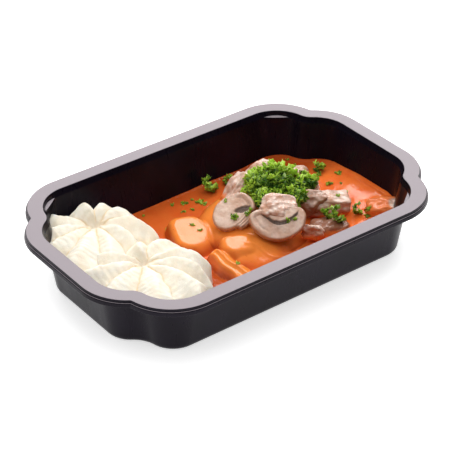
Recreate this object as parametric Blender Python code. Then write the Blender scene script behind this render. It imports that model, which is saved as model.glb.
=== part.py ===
"""A ready meal in its black tray: two piped rosettes of mash beside a thick orange stew.

The frame has its origin under the middle of the tray, on the table. X runs along the
tray with the mash at -X, Y runs across it and Z is up. Sizes below are in millimetres.
"""

from math import atan2, cos, exp, hypot, pi, radians, sin, sqrt

import bmesh
import bpy
from mathutils import Matrix, Vector, noise

MM = 0.001

# Tray, measured to the outer edge of the flat top of its rim
RIM_HALF_LENGTH = 113.7
RIM_HALF_WIDTH = 73.84
LONG_LOBE_RADIUS = 30.81
LONG_LOBE_FROM_END = 43.93
END_LOBE_RADIUS = 30.36
END_LOBE_FROM_SIDE = 50.63
NOTCH_RADIUS = 1.74
ARC_STEPS = (4, 3, 6)
TRAY_HEIGHT = 38.4
RIM_WIDTH = 8.4
WALL = 0.78
FLOOR = 0.8
LUG_DEPTH = 1.4
LUG_ANGLE = 53.0
LUG_HALF_ANGLE = 20.0

# Food
GAP = 0.35
MASH_CENTRES = ((-64.6, 39.1), (-64.1, -8.0))
SAUCE_AT_MASH = 5.3
SAUCE_AT_END = 14.6

# Petals of each rosette: direction, length, height of the ridge, height of the tip
PETALS = (
    (
        (170, 45, 28.0, 32), (133, 44, 26.5, 24), (84, 23, 30.0, 23), (24, 23, 29.0, 21),
        (-9, 29, 27.0, 17), (-40, 36, 25.5, 17), (-80, 32, 26.0, 19), (-130, 52, 27.5, 24),
    ),
    (
        (168, 40, 27.5, 26), (130, 31, 26.5, 22), (63, 22, 28.0, 19), (14, 33, 26.0, 17),
        (-26, 38, 26.0, 16), (-55, 40, 26.0, 15), (-88, 54, 26.0, 18), (-128, 58, 27.0, 22),
    ),
)

COLOURS = {
    "tray": (0.012, 0.011, 0.013),
    "mash": (0.86, 0.79, 0.62),
    "sauce": (0.76, 0.19, 0.04),
    "meat": (0.58, 0.36, 0.27),
    "mushroom": (0.62, 0.45, 0.34),
    "parsley": (0.10, 0.26, 0.03),
}


def material(kind):
    found = bpy.data.materials.get(kind)
    if found:
        return found
    made = bpy.data.materials.new(kind)
    made.use_nodes = True
    shader = made.node_tree.nodes["Principled BSDF"]
    shader.inputs["Base Color"].default_value = (*COLOURS[kind], 1)
    shader.inputs["Roughness"].default_value = 0.4
    return made


def keep(bm, name, kind):
    """The bmesh, in millimetres, as a named object in metres."""
    bmesh.ops.triangulate(bm, faces=bm.faces)
    bmesh.ops.recalc_face_normals(bm, faces=bm.faces)
    bmesh.ops.scale(bm, vec=(MM, MM, MM), verts=bm.verts)
    mesh = bpy.data.meshes.new(name)
    bm.to_mesh(mesh)
    bm.free()
    mesh.materials.append(material(kind))
    made = bpy.data.objects.new(name, mesh)
    bpy.context.scene.collection.objects.link(made)
    return made


def forget(obj):
    bpy.data.objects.remove(obj, do_unlink=True)


def settle(obj):
    """Makes what the object's modifiers show its own mesh."""
    graph = bpy.context.evaluated_depsgraph_get()
    graph.update()
    made = bpy.data.meshes.new_from_object(obj.evaluated_get(graph))
    obj.modifiers.clear()
    old = obj.data
    obj.data = made
    bpy.data.meshes.remove(old)


def boolean(obj, other, operation, solver="EXACT"):
    """The named Boolean of two objects, left in the first. The second is removed."""
    cut = obj.modifiers.new(operation.lower(), "BOOLEAN")
    cut.operation = operation
    cut.solver = solver
    cut.object = other
    settle(obj)
    forget(other)
    tidy(obj)


def tidy(obj):
    """Joins points that fell together and drops every scrap but the largest piece."""
    bm = bmesh.new()
    bm.from_mesh(obj.data)
    bmesh.ops.remove_doubles(bm, verts=bm.verts, dist=0.00002)
    bmesh.ops.dissolve_degenerate(bm, edges=bm.edges, dist=0.00001)
    bmesh.ops.triangulate(bm, faces=bm.faces)
    left = set(bm.faces)
    groups = []
    while left:
        seed = left.pop()
        group = [seed]
        for face in group:
            for edge in face.edges:
                for near in edge.link_faces:
                    if near in left:
                        left.discard(near)
                        group.append(near)
        groups.append(group)
    groups.sort(key=len)
    for group in groups[:-1]:
        bmesh.ops.delete(bm, geom=group, context="FACES")
    bmesh.ops.recalc_face_normals(bm, faces=bm.faces)
    bm.to_mesh(obj.data)
    bm.free()


def swollen(obj, by=GAP):
    """A copy with its skin moved out by the gap that neighbours keep."""
    bm = bmesh.new()
    bm.from_mesh(obj.data)
    bm.normal_update()
    moves = [(v, v.normal * by * MM) for v in bm.verts]
    for v, move in moves:
        v.co += move
    mesh = bpy.data.meshes.new("swollen")
    bm.to_mesh(mesh)
    bm.free()
    made = bpy.data.objects.new("swollen", mesh)
    bpy.context.scene.collection.objects.link(made)
    return made


def clear_of(obj, others, by=GAP):
    for other in others:
        boolean(obj, swollen(other, by), "DIFFERENCE", "MANIFOLD")


# Tray


def outline(inset):
    """Points round the tray this far in from the rim's edge, with where each is on its lobe."""
    a = (RIM_HALF_LENGTH - LONG_LOBE_FROM_END, RIM_HALF_WIDTH - LONG_LOBE_RADIUS)
    b = (RIM_HALF_LENGTH - END_LOBE_RADIUS, RIM_HALF_WIDTH - END_LOBE_FROM_SIDE)
    near = LONG_LOBE_RADIUS + NOTCH_RADIUS
    far = END_LOBE_RADIUS + NOTCH_RADIUS
    apart = hypot(b[0] - a[0], b[1] - a[1])
    along = (near * near - far * far + apart * apart) / (2 * apart)
    out = sqrt(near * near - along * along)
    step = ((b[0] - a[0]) / apart, (b[1] - a[1]) / apart)
    n = (a[0] + step[0] * along - step[1] * out, a[1] + step[1] * along + step[0] * out)
    if n[0] + n[1] < a[0] + a[1]:
        n = (a[0] + step[0] * along + step[1] * out, a[1] + step[1] * along - step[0] * out)
    on_a = atan2(n[1] - a[1], n[0] - a[0])
    on_b = atan2(n[1] - b[1], n[0] - b[0])
    arcs = (
        (b, END_LOBE_RADIUS - inset, 0.0, on_b, False),
        (n, NOTCH_RADIUS + inset, on_b + pi, on_a + pi, False),
        (a, LONG_LOBE_RADIUS - inset, on_a, pi / 2, True),
    )
    quarter = []
    for (centre, radius, start, end, lobe), steps in zip(arcs, ARC_STEPS):
        for i in range(steps + 1):
            if quarter and i == 0:
                continue
            turn = start + (end - start) * i / steps
            lug = 0.0
            if lobe:
                lug = max(0.0, 1 - ((turn - radians(LUG_ANGLE)) / radians(LUG_HALF_ANGLE)) ** 2)
            quarter.append((centre[0] + radius * cos(turn), centre[1] + radius * sin(turn), lug))
    round_ = list(quarter)
    round_ += [(-x, y, lug) for x, y, lug in reversed(quarter)]
    round_ += [(-x, -y, lug) for x, y, lug in quarter]
    round_ += [(x, -y, lug) for x, y, lug in reversed(quarter)]
    return round_


def outer_inset(z):
    if z >= 4.1:
        return 14.4 - (z - 4.1) * 4.6 / 29.9
    return 14.4 + 4.1 - sqrt(4.1 ** 2 - (4.1 - z) ** 2)


def inner_inset(z):
    if z >= 4.2:
        return outer_inset(z) + WALL
    return outer_inset(4.2) + WALL + 3.4 - sqrt(max(0.0, 3.4 ** 2 - (4.2 - max(z, FLOOR)) ** 2))


def ring(bm, inset, z, lug=0.0):
    """A closed ring of points. The lug moves those inside each corner further in."""
    plain = outline(inset)
    if not lug:
        return [bm.verts.new((x, y, z)) for x, y, _ in plain]
    moved = outline(inset + lug)
    points = []
    for (x, y, share), (u, v, _) in zip(plain, moved):
        points.append(bm.verts.new((x + (u - x) * share, y + (v - y) * share, z)))
    return points


def walls(bm, rings):
    for lower, upper in zip(rings, rings[1:]):
        count = len(lower)
        for i in range(count):
            j = (i + 1) % count
            bm.faces.new((lower[i], lower[j], upper[j], upper[i]))


def loft(bm, rings):
    walls(bm, rings)
    bm.faces.new(reversed(rings[0]))
    bm.faces.new(rings[-1])


def build_tray():
    """From the middle of the base, out and up the outside, over the rim and down inside."""
    top = TRAY_HEIGHT
    bm = bmesh.new()
    rings = [ring(bm, outer_inset(z), z) for z in (0.0, 0.5, 1.9, 4.1, 28.0)]
    rings.append(ring(bm, 9.8, top - 4.4, LUG_DEPTH))
    rings.append(ring(bm, 9.72, top - 4.05, LUG_DEPTH))
    rings.append(ring(bm, 9.5, top - 3.4, -0.95))
    rings.append(ring(bm, 8.3, top - 1.1, 0.0))
    lip = (
        (0.8, -1.05), (0.6, -2.15), (-0.15, -2.3), (-0.5, -4.1), (-1.25, -4.1),
        (-0.95, -1.75), (-0.2, -1.5), (-0.02, -0.3), (0.3, 0.0),
    )
    rings += [ring(bm, inset, top + drop) for inset, drop in lip]
    rings.append(ring(bm, RIM_WIDTH, top))
    rings.append(ring(bm, RIM_WIDTH + 0.45, top - 0.15))
    rings.append(ring(bm, RIM_WIDTH + 0.75, top - 0.6))
    rings.append(ring(bm, 10.25, top - 3.1, -0.95))
    rings.append(ring(bm, 10.35, top - 3.25, LUG_DEPTH))
    rings.append(ring(bm, 10.5, top - 3.7, LUG_DEPTH + 0.1))
    rings += [ring(bm, inner_inset(z), z) for z in (28.0, 4.2, 2.1, 1.1, FLOOR)]
    loft(bm, rings)
    return keep(bm, "tray", "tray")


def cavity():
    """The room inside the tray, less the gap, that the food is cut to."""
    bm = bmesh.new()
    heights = (FLOOR + GAP, 1.1 + GAP, 2.1 + GAP, 4.2 + GAP, 28.0, 34.0)
    rings = []
    for z in heights:
        inset = inner_inset(z - GAP) if z < 5 else inner_inset(z)
        rings.append(ring(bm, inset + GAP, z))
    loft(bm, rings)
    return keep(bm, "cavity", "sauce")


# Mash


def petal_of(rosette, turn):
    """Reach of the rosette in this direction."""
    best = 0.0
    for angle, length, _, _ in PETALS[rosette]:
        away = (turn - radians(angle) + pi) % (2 * pi) - pi
        best = max(best, length * (1 - 0.62 * (away / 0.50) ** 2))
    return max(best, 15.0)


def mash_height(rosette, out, turn, x, y):
    """Top of the mash at this share of the way out and this direction."""
    best = 0.0
    for angle, _, ridge, tip in PETALS[rosette]:
        away = (turn - radians(angle) - 0.10 * sin(out * pi) + pi) % (2 * pi) - pi
        lean = away / 0.40
        lean = lean * 1.25 if lean > 0 else lean * 0.85
        rise = sin(pi * min(out / 0.62, 1) / 2)
        crest = 24.3 + (ridge - 24.3) * rise
        if out > 0.62:
            crest = ridge - (ridge - tip) * ((out - 0.62) / 0.38) ** 1.7
        groove = 3.9 * sin(pi * min(out / 0.55, 1) / 2)
        best = max(best, crest - groove * min(abs(lean), 1.5) ** 2.6)
    wobble = noise.noise(Vector((x * 0.14, y * 0.14, 3.1 + rosette)))
    return best + 0.9 * wobble * min(1, out * 3) - 0.9 * exp(-((out / 0.10) ** 2))


def build_mash(rosette, name):
    """Petals raised in a spun grid, with steep sides down to the floor of the tray."""
    around = 48
    rows = (0.08, 0.2, 0.34, 0.48, 0.62, 0.76, 0.9, 1.0)
    cx, cy = MASH_CENTRES[rosette]
    bm = bmesh.new()
    rings = []
    for out in rows:
        points = []
        for i in range(around):
            turn = 2 * pi * i / around
            reach = petal_of(rosette, turn) * out
            x = cx + reach * cos(turn)
            y = cy + reach * sin(turn)
            points.append(bm.verts.new((x, y, mash_height(rosette, out, turn, x, y))))
        rings.append(points)
    for share, z in ((1.015, 11.0), (1.0, 0.5)):
        points = []
        for i in range(around):
            turn = 2 * pi * i / around
            reach = petal_of(rosette, turn) * share
            points.append(bm.verts.new((cx + reach * cos(turn), cy + reach * sin(turn), z)))
        rings.append(points)
    loft(bm, rings)
    made = keep(bm, name, "mash")
    boolean(made, cavity(), "INTERSECT")
    return made


# Sauce


def ease(t):
    t = min(1.0, max(0.0, t))
    return t * t * (3 - 2 * t)


def sauce_height(x, y):
    """The stew lies thick and rises to the end away from the mash."""
    level = SAUCE_AT_MASH + 1.5 * ease((x + 35) / 80)
    end = ease((x - 50) / 50) * (1 - 0.45 * ease((y + 5) / 50))
    level += (SAUCE_AT_END - SAUCE_AT_MASH - 1.5) * end
    return level + 0.35 * noise.noise(Vector((x * 0.05, y * 0.05, 8.0)))


def build_sauce(mashes):
    across, along = 12, 18
    bm = bmesh.new()
    x0, x1, y0, y1 = -52.0, 106.0, -66.0, 66.0
    grid = []
    for j in range(across + 1):
        row = []
        for i in range(along + 1):
            x = x0 + (x1 - x0) * i / along
            y = y0 + (y1 - y0) * j / across
            row.append(bm.verts.new((x, y, sauce_height(x, y))))
        grid.append(row)
    faces = []
    for low, high in zip(grid, grid[1:]):
        for i in range(along):
            faces.append(bm.faces.new((low[i], low[i + 1], high[i + 1], high[i])))
    out = bmesh.ops.extrude_face_region(bm, geom=faces)
    for item in out["geom"]:
        if isinstance(item, bmesh.types.BMVert):
            item.co.z = 0.5
    made = keep(bm, "sauce", "sauce")
    boolean(made, cavity(), "INTERSECT")
    clear_of(made, mashes)
    return made


# Pieces in and on the stew


def turned(yaw, pitch=0.0, roll=0.0):
    turn = Matrix.Rotation(radians(yaw), 4, "Z") @ Matrix.Rotation(radians(pitch), 4, "Y")
    return turn @ Matrix.Rotation(radians(roll), 4, "X")


def lump(bm, centre, size, turn, square=0.5, rough=0.6, seed=1.0, detail=3):
    """A chunk between a ball and a box, unevenly cut. Sizes are full lengths."""
    made = bmesh.ops.create_icosphere(bm, subdivisions=detail, radius=1.0)
    half = Vector(size) / 2
    place = Matrix.Translation(Vector(centre)) @ turn
    for v in made["verts"]:
        ray = v.co.normalized()
        box = 1 / max(abs(ray.x), abs(ray.y), abs(ray.z))
        ball = ray * (1 + (box - 1) * square)
        bump = noise.noise(ray * 1.4 + Vector((seed, seed * 2, 0)))
        bump += 0.5 * noise.noise(ray * 3.1 + Vector((0, seed, seed)))
        point = Vector((ball.x * half.x, ball.y * half.y, ball.z * half.z))
        v.co = place @ (point + ray * bump * rough)
    return made["verts"]


def chunk(name, kind, centre, size, turn, under, **how):
    bm = bmesh.new()
    lump(bm, centre, size, turn, **how)
    made = keep(bm, name, kind)
    thin = made.modifiers.new("thin", "DECIMATE")
    thin.ratio = 0.5
    settle(made)
    if hypot(centre[0] / RIM_HALF_LENGTH, centre[1] / RIM_HALF_WIDTH) > 0.35:
        boolean(made, cavity(), "INTERSECT", "MANIFOLD")
    clear_of(made, touching(made, under))
    return made


def bounds(obj):
    points = [v.co for v in obj.data.vertices]
    low = [min(p[i] for p in points) for i in range(3)]
    high = [max(p[i] for p in points) for i in range(3)]
    return low, high


def touching(obj, others):
    """The others whose bounds reach this one's."""
    low, high = bounds(obj)
    room = 2 * GAP * MM
    found = []
    for other in others:
        a, b = bounds(other)
        if all(a[i] - room < high[i] and b[i] + room > low[i] for i in range(3)):
            found.append(other)
    return found


# The slice's flat sides, laid across its outline in strips: cap, curled rim on each side, stalk
SLICE_CAP = [(5, 6, 7)] + [(6 - k, 6 + k, 7 + k, 5 - k) for k in range(1, 6)]
SLICE_CAP += [(0, 12, 15, 20), (12, 13, 14, 15), (0, 20, 21, 22), (20, 15, 16, 19), (19, 16, 17, 18)]


def mushroom_slice(name, centre, normal, stalk, radius, thick, reach, under):
    """A slab cut through cap and stalk, with the rim of the cap curled in beside the stalk."""
    n = Vector(normal).normalized()
    down = Vector(stalk)
    down = (down - n * down.dot(n)).normalized()
    side = down.cross(n)
    shape = []
    for i in range(13):
        turn = pi * i / 12
        shape.append((radius * cos(turn), -radius * 0.78 * sin(turn)))
    shape += [(-0.88 * radius, 4.2), (-0.62 * radius, 3.4), (-0.34 * radius, 1.6)]
    shape += [(-0.27 * radius, reach * 0.65), (-0.31 * radius, reach)]
    shape += [(0.31 * radius, reach), (0.27 * radius, reach * 0.65)]
    shape += [(0.34 * radius, 1.6), (0.62 * radius, 3.4), (0.88 * radius, 4.2)]
    bm = bmesh.new()
    rings = []
    for depth, share in ((-0.5, 0.93), (-0.28, 1.0), (0.28, 1.0), (0.5, 0.94)):
        points = []
        for u, v in shape:
            bow = 0.9 * sin(u * 0.16) + 0.7 * cos(v * 0.14)
            at = Vector(centre) + side * u * share + down * v * share
            points.append(bm.verts.new(at + n * (depth * thick + bow)))
        rings.append(points)
    walls(bm, rings)
    for points in (rings[0], rings[-1]):
        for across in SLICE_CAP:
            bm.faces.new([points[i] for i in across])
    made = keep(bm, name, "mushroom")
    clear_of(made, touching(made, under))
    return made


def leaf_bits(places, seed):
    """Chopped leaf at each place (x, y, z, length): a flat uneven bit, closed, of a few sides."""
    made = []
    for k, (x, y, z, span) in enumerate(places):
        bm = bmesh.new()
        half = Vector((span * 0.52, span * 0.36, min(0.9, span * 0.24)))
        turn = turned(137.5 * (k + seed), 14 * sin(2.1 * k + seed), 14 * cos(1.3 * k))
        bits = bmesh.ops.create_icosphere(bm, subdivisions=1, radius=1.0)
        for v in bits["verts"]:
            uneven = 1 + 0.4 * noise.noise(v.co * 2.3 + Vector((seed + k * 1.7, 0, k * 0.9)))
            point = Vector((v.co.x * half.x, v.co.y * half.y, v.co.z * half.z)) * uneven
            v.co = Matrix.Translation((x, y, z + 0.25)) @ turn @ point
        made.append(keep(bm, "bit", "parsley"))
    return made


def fuse(obj, bits):
    """One union of the object with every bit, then the bits are removed."""
    group = bpy.data.collections.new("bits")
    for bit in bits:
        group.objects.link(bit)
    join = obj.modifiers.new("fuse", "BOOLEAN")
    join.operation = "UNION"
    join.solver = "MANIFOLD"
    join.operand_type = "COLLECTION"
    join.collection = group
    settle(obj)
    for bit in bits:
        forget(bit)
    bpy.data.collections.remove(group)
    tidy(obj)


def build_heap(under):
    """Chopped parsley piled on top: a core, two trailing lobes and the bits that show."""
    bm = bmesh.new()
    lump(bm, HEAP_CENTRE, HEAP_SIZE, turned(-30), square=0.1, rough=1.6, seed=17, detail=2)
    heap = keep(bm, "parsley_heap", "parsley")
    lobes = []
    for centre, size, yaw in HEAP_LOBES:
        bm = bmesh.new()
        lump(bm, centre, size, turned(yaw), square=0.1, rough=1.0, seed=centre[0], detail=2)
        lobes.append(keep(bm, "lobe", "parsley"))
    fuse(heap, lobes)
    places = []
    for k in range(HEAP_BITS):
        rise = 0.12 + 0.86 * (k + 0.5) / HEAP_BITS
        turn = radians(137.508 * k)
        flat = sqrt(1 - rise * rise)
        x = HEAP_CENTRE[0] + HEAP_SIZE[0] / 2 * flat * cos(turn)
        y = HEAP_CENTRE[1] + HEAP_SIZE[1] / 2 * flat * sin(turn)
        places.append((x, y, HEAP_CENTRE[2] + HEAP_SIZE[2] / 2 * rise, 5.5 + 1.5 * sin(k)))
    fuse(heap, leaf_bits(places, 4))
    clear_of(heap, touching(heap, under))
    return heap


# Parsley pile
HEAP_CENTRE = (39, 9, 27)
HEAP_SIZE = (34, 32, 19)
HEAP_BITS = 23
HEAP_LOBES = (
    ((41, -12, 26.5), (14, 10, 8), -30),
    ((57, -3, 26.5), (14, 9, 6), -20),
    ((23.5, 2, 27.5), (9, 13, 8), -30),
)

# Flakes that show from a step away, by what they lie on: place, then length
FLAKES = {
    "sauce": (
        (7.3, 58.1, 6.1, 3.6), (5.3, 50.0, 6.1, 4.2), (-1.5, 53.2, 5.9, 3.0),
        (11.0, 50.6, 6.2, 2.6), (13.0, 45.2, 6.3, 4.8), (14.7, 41.5, 6.3, 3.4),
        (5.3, 41.7, 6.1, 2.8), (-0.5, 43.1, 5.9, 3.0), (-21.1, 54.3, 5.4, 2.6),
        (86.1, 44.8, 10.3, 4.6), (82.2, 47.1, 10.0, 2.8), (81.6, 39.9, 9.8, 2.6),
        (93.2, 12.2, 13.3, 4.4), (82.3, 8.1, 11.9, 4.4), (87.3, 3.0, 13.1, 2.6),
        (87.2, 23.6, 11.5, 7.0), (83.6, 20.8, 11.0, 4.6), (79.0, 30.2, 9.9, 5.2),
        (78.5, -31.5, 11.5, 4.6), (75.4, -25.6, 10.7, 6.0), (25.1, 50.9, 6.8, 7.0),
        (29.5, 52.6, 6.8, 5.0),
    ),
    "coated_chunk_left": ((-11.8, 18.8, 14.4, 3.0), (-10.3, 13.1, 14.0, 3.0)),
    "coated_strip": ((-13.7, -26.8, 12.9, 3.6),),
    "mushroom_slice_left": ((14.0, -2.0, 23.3, 5.0), (5.7, 1.6, 20.6, 4.6), (7.6, 12.5, 25.3, 3.0)),
    "mushroom_slice_front": ((24.0, -22.8, 24.4, 5.0), (26.6, -26.6, 23.4, 3.4)),
    "meat_block": ((69.4, -14.8, 20.0, 3.4),),
    "coated_chunk_near": ((54.2, -23.5, 15.9, 7.0), (55.6, -30.8, 16.3, 8.0)),
    "mushroom_back": ((62.6, 9.4, 25.6, 5.4),),
}


def add_flakes(obj):
    fuse(obj, leaf_bits(FLAKES.get(obj.name, ()), len(obj.name)))


def build():
    for obj in list(bpy.data.objects):
        bpy.data.objects.remove(obj, do_unlink=True)
    build_tray()
    far = build_mash(0, "mash_rosette_far")
    near = build_mash(1, "mash_rosette_near")
    clear_of(far, [near])
    stew = build_sauce([far, near])
    add_flakes(stew)
    boolean(stew, cavity(), "INTERSECT", "MANIFOLD")
    made = [far, near, stew]

    def add(name, kind, centre, size, turn, **how):
        piece = chunk(name, kind, centre, size, turn, made, **how)
        if name in FLAKES:
            add_flakes(piece)
        made.append(piece)

    def add_slice(name, centre, normal, stalk, radius, thick, reach):
        piece = mushroom_slice(name, centre, normal, stalk, radius, thick, reach, made)
        add_flakes(piece)
        made.append(piece)

    add("coated_chunk_left", "sauce", (-17, 14.5, 8), (32, 21, 13.5), turned(69), square=0.6)
    add("coated_mound", "sauce", (23, 5, 6), (62, 64, 25), turned(0), square=0.2, rough=1.2)
    add("coated_chunk_front", "sauce", (3, -15, 8.5), (25, 25, 14.5), turned(-28), square=0.55, seed=3)
    add("coated_strip", "sauce", (-16.5, -26.5, 8), (38, 12, 11), turned(-80), square=0.5, seed=5)
    add("coated_chunk_near", "sauce", (52, -28, 10), (26, 18, 14), turned(-20), square=0.4, seed=7)
    add("meat_sliver", "meat", (39, -28, 13), (15, 7, 11), turned(-40, 20), square=0.4, seed=8)
    add("meat_chunk_end", "meat", (89, -33, 13), (22, 17, 10), turned(-30), square=0.4, seed=9)
    add("meat_block", "meat", (65, -12, 15), (24, 15, 13), turned(-27, 10), square=0.65, seed=10)
    add("meat_fold_right", "meat", (52, -9, 19), (19, 13, 17), turned(-20), square=0.4, seed=11)
    add("meat_strip_low", "meat", (27, 28, 19), (23, 12, 10), turned(10, -35), square=0.5, seed=12)
    add("meat_strip_high", "meat", (43, 27, 26), (20, 12, 9), turned(0, -20), square=0.5, seed=13)
    add("mushroom_back", "mushroom", (61, 14, 23), (18, 13, 9), turned(20), square=0.2, seed=14)
    add("meat_back_right", "meat", (59, 3, 20), (18, 13, 11), turned(-20), square=0.5, seed=15)
    slope = (-0.42, -0.36, 0.83)
    add_slice("mushroom_slice_left", (8.6, 4.6, 20.8), slope, (0.22, -0.92, -0.3), 14.2, 5.0, 9.5)
    slope = (-0.37, -0.49, 0.79)
    add_slice("mushroom_slice_front", (22, -18.5, 22), slope, (0.48, 0.63, 0.6), 16.0, 5.0, 15.0)
    add("meat_fold_top", "meat", (29, -8, 25), (20, 14, 11), turned(-40, 0, 20), square=0.3, seed=16)
    build_heap(made)
    for obj in bpy.data.objects:
        obj.data.shade_smooth()
        obj.data.set_sharp_from_angle(angle=radians(40))


build()
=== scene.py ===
"""The looks of a ready meal: two piped rosettes of mash beside a thick orange stew, in a black tray.

Sizes are in millimetres until a finished piece is turned into metres.
"""

from math import atan2, cos, exp, hypot, pi, radians, sin, sqrt

import bmesh
import bpy
from mathutils import Matrix, Vector, noise
from mathutils.bvhtree import BVHTree
from mathutils.kdtree import KDTree


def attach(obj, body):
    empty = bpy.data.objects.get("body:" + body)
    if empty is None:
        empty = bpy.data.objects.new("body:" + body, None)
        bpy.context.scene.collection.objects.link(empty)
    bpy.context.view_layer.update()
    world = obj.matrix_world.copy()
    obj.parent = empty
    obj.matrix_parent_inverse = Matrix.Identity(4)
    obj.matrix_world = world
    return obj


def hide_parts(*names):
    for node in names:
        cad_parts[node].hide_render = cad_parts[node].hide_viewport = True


MM = 0.001
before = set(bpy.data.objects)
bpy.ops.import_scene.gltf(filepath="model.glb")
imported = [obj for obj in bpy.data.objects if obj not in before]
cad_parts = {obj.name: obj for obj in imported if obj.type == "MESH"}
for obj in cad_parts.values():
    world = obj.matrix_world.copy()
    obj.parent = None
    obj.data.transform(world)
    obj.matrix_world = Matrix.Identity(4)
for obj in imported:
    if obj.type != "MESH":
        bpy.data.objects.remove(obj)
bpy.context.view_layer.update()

# The outline of the rim: at each corner a lobe for the long side, a notch and a lobe for the end
RIM_HALF_LENGTH = 113.7
RIM_HALF_WIDTH = 73.84
LONG_LOBE_RADIUS = 30.81
LONG_LOBE_FROM_END = 43.93
END_LOBE_RADIUS = 30.36
END_LOBE_FROM_SIDE = 50.63
NOTCH_RADIUS = 1.74
ARC_STEPS = (12, 9, 20)
TRAY_HEIGHT = 38.4
RIM_WIDTH = 8.4
WALL = 0.78
FLOOR = 0.8
LUG_DEPTH = 1.4
LUG_ANGLE = 53.0
LUG_HALF_ANGLE = 20.0
# The wall: how far in from the rim's edge it stands, how far out it leans over how far up, where it ends
# below the rim, and how it curves into the base
WALL_INSET = 14.4
LEAN_OUT, LEAN_UP = 4.6, 29.9
WALL_TOP = 30.0
OUTER_FOOT = 4.1
INNER_FOOT_TOP = 4.2
INNER_FOOT = 3.4
# A ring can't be further in than this, because the lobes end there
MOST_INSET = 29.9
# The food is cut to the tray's inside up to here
CAVITY_TOP = 34.0
# How far the food is pushed into the tray's wall, so that no gap shows
TOUCH = 0.03

MASH_CENTRES = ((-64.6, 39.1), (-64.1, -8.0))
SAUCE_AT_MASH = 5.3
SAUCE_AT_END = 14.6

# Petals of each rosette: direction, length, height of the ridge, height of the tip
PETALS = (
    (
        (170, 45, 28.0, 30), (133, 44, 26.5, 24), (84, 23, 30.0, 23), (24, 23, 29.0, 21),
        (-9, 29, 27.0, 17), (-40, 36, 25.5, 17), (-80, 32, 26.0, 19), (-115, 44, 26.0, 21),
        (-142, 52, 27.5, 24), (-168, 42, 27.0, 27),
    ),
    (
        (168, 40, 27.5, 26), (130, 31, 26.5, 22), (63, 22, 28.0, 19), (14, 33, 26.0, 17),
        (-26, 38, 26.0, 16), (-55, 40, 26.0, 15), (-88, 54, 26.0, 18), (-122, 58, 27.0, 22),
        (-158, 46, 26.5, 23),
    ),
)


# Building helpers


def new_object(bm, name):
    """The bmesh, in millimetres, as a smooth object in metres that stands in the scene."""
    bmesh.ops.recalc_face_normals(bm, faces=bm.faces)
    bmesh.ops.scale(bm, vec=(MM, MM, MM), verts=bm.verts)
    for face in bm.faces:
        face.smooth = True
    mesh = bpy.data.meshes.new(name)
    bm.to_mesh(mesh)
    bm.free()
    made = bpy.data.objects.new(name, mesh)
    bpy.context.scene.collection.objects.link(made)
    return made


def settle(obj):
    """Turns the object's modifiers into plain mesh."""
    graph = bpy.context.evaluated_depsgraph_get()
    graph.update()
    mesh = bpy.data.meshes.new_from_object(obj.evaluated_get(graph))
    old = obj.data
    obj.modifiers.clear()
    obj.data = mesh
    mesh.name = obj.name
    bpy.data.meshes.remove(old)
    return obj


def paint(obj, material):
    """Gives the whole object one material."""
    obj.data.materials.clear()
    obj.data.materials.append(material)
    obj.data.polygons.foreach_set("material_index", [0] * len(obj.data.polygons))


def forget(obj):
    """Removes a helper and its mesh."""
    mesh = obj.data
    bpy.data.objects.remove(obj, do_unlink=True)
    bpy.data.meshes.remove(mesh)


def boolean(obj, tool, operation):
    """Cuts the object with the tool, and removes the tool."""
    cut = obj.modifiers.new("cut", "BOOLEAN")
    cut.operation = operation
    cut.solver = "MANIFOLD"
    cut.object = tool
    settle(obj)
    forget(tool)


def remeshed(obj, size, smooth):
    """One even skin over everything in the object, softened."""
    skin = obj.modifiers.new("skin", "REMESH")
    skin.mode = "VOXEL"
    skin.voxel_size = size * MM
    soft = obj.modifiers.new("soft", "SMOOTH")
    soft.factor = 0.5
    soft.iterations = smooth
    settle(obj)
    return obj


def reshape(obj, move, layers=()):
    """Moves each vertex, in millimetres, by move(point, normal), which may add a value for each layer."""
    bm = bmesh.new()
    bm.from_mesh(obj.data)
    bm.normal_update()
    stores = [bm.verts.layers.float.get(n) or bm.verts.layers.float.new(n) for n in layers]
    normals = [v.normal.copy() for v in bm.verts]
    for v, normal in zip(bm.verts, normals):
        found = move(v.co / MM, normal)
        v.co = found[0] * MM
        for store, value in zip(stores, found[1:]):
            v[store] = value
    for face in bm.faces:
        face.smooth = True
    bm.to_mesh(obj.data)
    bm.free()


def grain(point, size, seed=0.0):
    """Soft noise of about this size, from -1 to 1."""
    return noise.noise(Vector((point[0] / size + seed, point[1] / size - seed, point[2] / size)))


def ease(t):
    """A smooth step from 0 to 1."""
    t = min(1.0, max(0.0, t))
    return t * t * (3 - 2 * t)


def bell(t, centre, width):
    """1 at the centre, falling off smoothly to both sides."""
    return exp(-(((t - centre) / width) ** 2))


def turned(yaw, pitch=0.0, roll=0.0):
    """A rotation from angles in degrees."""
    turn = Matrix.Rotation(radians(yaw), 4, "Z") @ Matrix.Rotation(radians(pitch), 4, "Y")
    return turn @ Matrix.Rotation(radians(roll), 4, "X")


# Materials


def linear(text):
    """An sRGB hex colour as the linear values that a shader takes."""
    parts = [int(text[i : i + 2], 16) / 255 for i in (0, 2, 4)]
    return [c / 12.92 if c <= 0.04045 else ((c + 0.055) / 1.055) ** 2.4 for c in parts] + [1.0]


def node(tree, kind, values=None, links=None, **settings):
    """Adds a shader node with its settings, the values of its sockets and what is linked into them."""
    made = tree.nodes.new(kind)
    for name, value in settings.items():
        setattr(made, name, value)
    for name, value in (values or {}).items():
        made.inputs[name].default_value = value
    for name, source in (links or {}).items():
        tree.links.new(source, made.inputs[name])
    return made


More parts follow.
